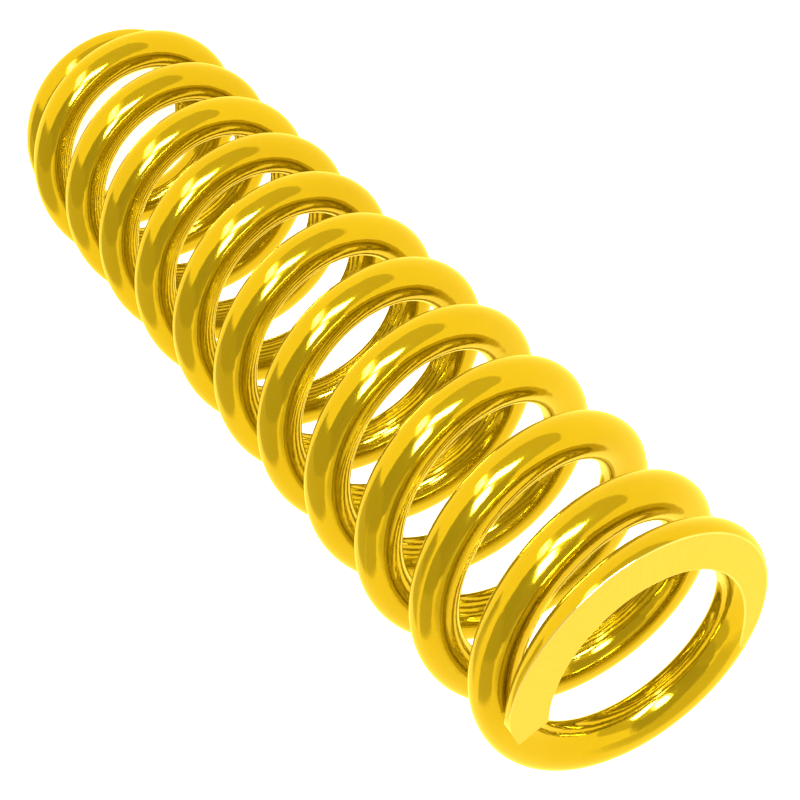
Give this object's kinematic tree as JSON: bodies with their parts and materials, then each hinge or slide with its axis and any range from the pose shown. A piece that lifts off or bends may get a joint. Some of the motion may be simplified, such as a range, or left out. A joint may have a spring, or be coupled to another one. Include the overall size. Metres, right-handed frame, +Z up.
{
  "type": "coil spring",
  "caption": "Helical compression spring of round wire with closed and ground ends, painted yellow, for a vehicle's coil-over suspension.",
  "frame": {"origin": "on the coil axis, in the plane of the lower ground end", "axes": "+Z up the coil axis to the upper ground end, +X towards the start of the first half turn; the wire climbs by the right-hand rule about +Z"},
  "size_m": [0.082, 0.082, 0.3048],
  "materials": {
    "coated_wire": "glossy metallic yellow top coat over spring steel"
  },
  "bodies": {
    "lower_end": {"lower_end_coil": "coated_wire", "coil_01_rear": "coated_wire"},
    "coil_01_front_body": {"coil_01_front": "coated_wire"},
    "coil_02_rear_body": {"coil_02_rear": "coated_wire"},
    "coil_02_front_body": {"coil_02_front": "coated_wire"},
    "coil_03_rear_body": {"coil_03_rear": "coated_wire"},
    "coil_03_front_body": {"coil_03_front": "coated_wire"},
    "coil_04_rear_body": {"coil_04_rear": "coated_wire"},
    "coil_04_front_body": {"coil_04_front": "coated_wire"},
    "coil_05_rear_body": {"coil_05_rear": "coated_wire"},
    "coil_05_front_body": {"coil_05_front": "coated_wire"},
    "coil_06_rear_body": {"coil_06_rear": "coated_wire"},
    "coil_06_front_body": {"coil_06_front": "coated_wire"},
    "coil_07_rear_body": {"coil_07_rear": "coated_wire"},
    "coil_07_front_body": {"coil_07_front": "coated_wire"},
    "coil_08_rear_body": {"coil_08_rear": "coated_wire"},
    "coil_08_front_body": {"coil_08_front": "coated_wire"},
    "coil_09_rear_body": {"coil_09_rear": "coated_wire"},
    "coil_09_front_body": {"coil_09_front": "coated_wire"},
    "coil_10_rear_body": {"coil_10_rear": "coated_wire"},
    "coil_10_front_body": {"coil_10_front": "coated_wire"},
    "coil_11_rear_body": {"coil_11_rear": "coated_wire"},
    "upper_end": {"coil_11_front": "coated_wire", "upper_end_coil": "coated_wire"}
  },
  "joints": [
    {"name": "coil_01_front_slide", "type": "slide", "parent": "lower_end", "child": "coil_01_front_body", "axis": [0, 0, -1], "range_m": [0, 0.0036], "stiffness_N_per_m": 1500000},
    {"name": "coil_02_rear_slide", "type": "slide", "parent": "coil_01_front_body", "child": "coil_02_rear_body", "axis": [0, 0, -1], "range_m": [0, 0.006], "stiffness_N_per_m": 1500000},
    {"name": "coil_02_front_slide", "type": "slide", "parent": "coil_02_rear_body", "child": "coil_02_front_body", "axis": [0, 0, -1], "range_m": [0, 0.006], "stiffness_N_per_m": 1500000},
    {"name": "coil_03_rear_slide", "type": "slide", "parent": "coil_02_front_body", "child": "coil_03_rear_body", "axis": [0, 0, -1], "range_m": [0, 0.006], "stiffness_N_per_m": 1500000},
    {"name": "coil_03_front_slide", "type": "slide", "parent": "coil_03_rear_body", "child": "coil_03_front_body", "axis": [0, 0, -1], "range_m": [0, 0.006], "stiffness_N_per_m": 1500000},
    {"name": "coil_04_rear_slide", "type": "slide", "parent": "coil_03_front_body", "child": "coil_04_rear_body", "axis": [0, 0, -1], "range_m": [0, 0.006], "stiffness_N_per_m": 1500000},
    {"name": "coil_04_front_slide", "type": "slide", "parent": "coil_04_rear_body", "child": "coil_04_front_body", "axis": [0, 0, -1], "range_m": [0, 0.006], "stiffness_N_per_m": 1500000},
    {"name": "coil_05_rear_slide", "type": "slide", "parent": "coil_04_front_body", "child": "coil_05_rear_body", "axis": [0, 0, -1], "range_m": [0, 0.006], "stiffness_N_per_m": 1500000},
    {"name": "coil_05_front_slide", "type": "slide", "parent": "coil_05_rear_body", "child": "coil_05_front_body", "axis": [0, 0, -1], "range_m": [0, 0.006], "stiffness_N_per_m": 1500000},
    {"name": "coil_06_rear_slide", "type": "slide", "parent": "coil_05_front_body", "child": "coil_06_rear_body", "axis": [0, 0, -1], "range_m": [0, 0.006], "stiffness_N_per_m": 1500000},
    {"name": "coil_06_front_slide", "type": "slide", "parent": "coil_06_rear_body", "child": "coil_06_front_body", "axis": [0, 0, -1], "range_m": [0, 0.006], "stiffness_N_per_m": 1500000},
    {"name": "coil_07_rear_slide", "type": "slide", "parent": "coil_06_front_body", "child": "coil_07_rear_body", "axis": [0, 0, -1], "range_m": [0, 0.006], "stiffness_N_per_m": 1500000},
    {"name": "coil_07_front_slide", "type": "slide", "parent": "coil_07_rear_body", "child": "coil_07_front_body", "axis": [0, 0, -1], "range_m": [0, 0.006], "stiffness_N_per_m": 1500000},
    {"name": "coil_08_rear_slide", "type": "slide", "parent": "coil_07_front_body", "child": "coil_08_rear_body", "axis": [0, 0, -1], "range_m": [0, 0.006], "stiffness_N_per_m": 1500000},
    {"name": "coil_08_front_slide", "type": "slide", "parent": "coil_08_rear_body", "child": "coil_08_front_body", "axis": [0, 0, -1], "range_m": [0, 0.006], "stiffness_N_per_m": 1500000},
    {"name": "coil_09_rear_slide", "type": "slide", "parent": "coil_08_front_body", "child": "coil_09_rear_body", "axis": [0, 0, -1], "range_m": [0, 0.006], "stiffness_N_per_m": 1500000},
    {"name": "coil_09_front_slide", "type": "slide", "parent": "coil_09_rear_body", "child": "coil_09_front_body", "axis": [0, 0, -1], "range_m": [0, 0.006], "stiffness_N_per_m": 1500000},
    {"name": "coil_10_rear_slide", "type": "slide", "parent": "coil_09_front_body", "child": "coil_10_rear_body", "axis": [0, 0, -1], "range_m": [0, 0.006], "stiffness_N_per_m": 1500000},
    {"name": "coil_10_front_slide", "type": "slide", "parent": "coil_10_rear_body", "child": "coil_10_front_body", "axis": [0, 0, -1], "range_m": [0, 0.006], "stiffness_N_per_m": 1500000},
    {"name": "coil_11_rear_slide", "type": "slide", "parent": "coil_10_front_body", "child": "coil_11_rear_body", "axis": [0, 0, -1], "range_m": [0, 0.006], "stiffness_N_per_m": 1500000},
    {"name": "compression", "type": "slide", "parent": "coil_11_rear_body", "child": "upper_end", "axis": [0, 0, -1], "range_m": [0, 0.0054], "stiffness_N_per_m": 1500000}
  ],
  "couplings": [
    {"joint": "coil_01_front_slide", "follows": "compression", "ratio": 0.66667},
    {"joint": "coil_02_rear_slide", "follows": "compression", "ratio": 1.1111},
    {"joint": "coil_02_front_slide", "follows": "compression", "ratio": 1.1111},
    {"joint": "coil_03_rear_slide", "follows": "compression", "ratio": 1.1111},
    {"joint": "coil_03_front_slide", "follows": "compression", "ratio": 1.1111},
    {"joint": "coil_04_rear_slide", "follows": "compression", "ratio": 1.1111},
    {"joint": "coil_04_front_slide", "follows": "compression", "ratio": 1.1111},
    {"joint": "coil_05_rear_slide", "follows": "compression", "ratio": 1.1111},
    {"joint": "coil_05_front_slide", "follows": "compression", "ratio": 1.1111},
    {"joint": "coil_06_rear_slide", "follows": "compression", "ratio": 1.1111},
    {"joint": "coil_06_front_slide", "follows": "compression", "ratio": 1.1111},
    {"joint": "coil_07_rear_slide", "follows": "compression", "ratio": 1.1111},
    {"joint": "coil_07_front_slide", "follows": "compression", "ratio": 1.1111},
    {"joint": "coil_08_rear_slide", "follows": "compression", "ratio": 1.1111},
    {"joint": "coil_08_front_slide", "follows": "compression", "ratio": 1.1111},
    {"joint": "coil_09_rear_slide", "follows": "compression", "ratio": 1.1111},
    {"joint": "coil_09_front_slide", "follows": "compression", "ratio": 1.1111},
    {"joint": "coil_10_rear_slide", "follows": "compression", "ratio": 1.1111},
    {"joint": "coil_10_front_slide", "follows": "compression", "ratio": 1.1111},
    {"joint": "coil_11_rear_slide", "follows": "compression", "ratio": 1.1111}
  ]
}
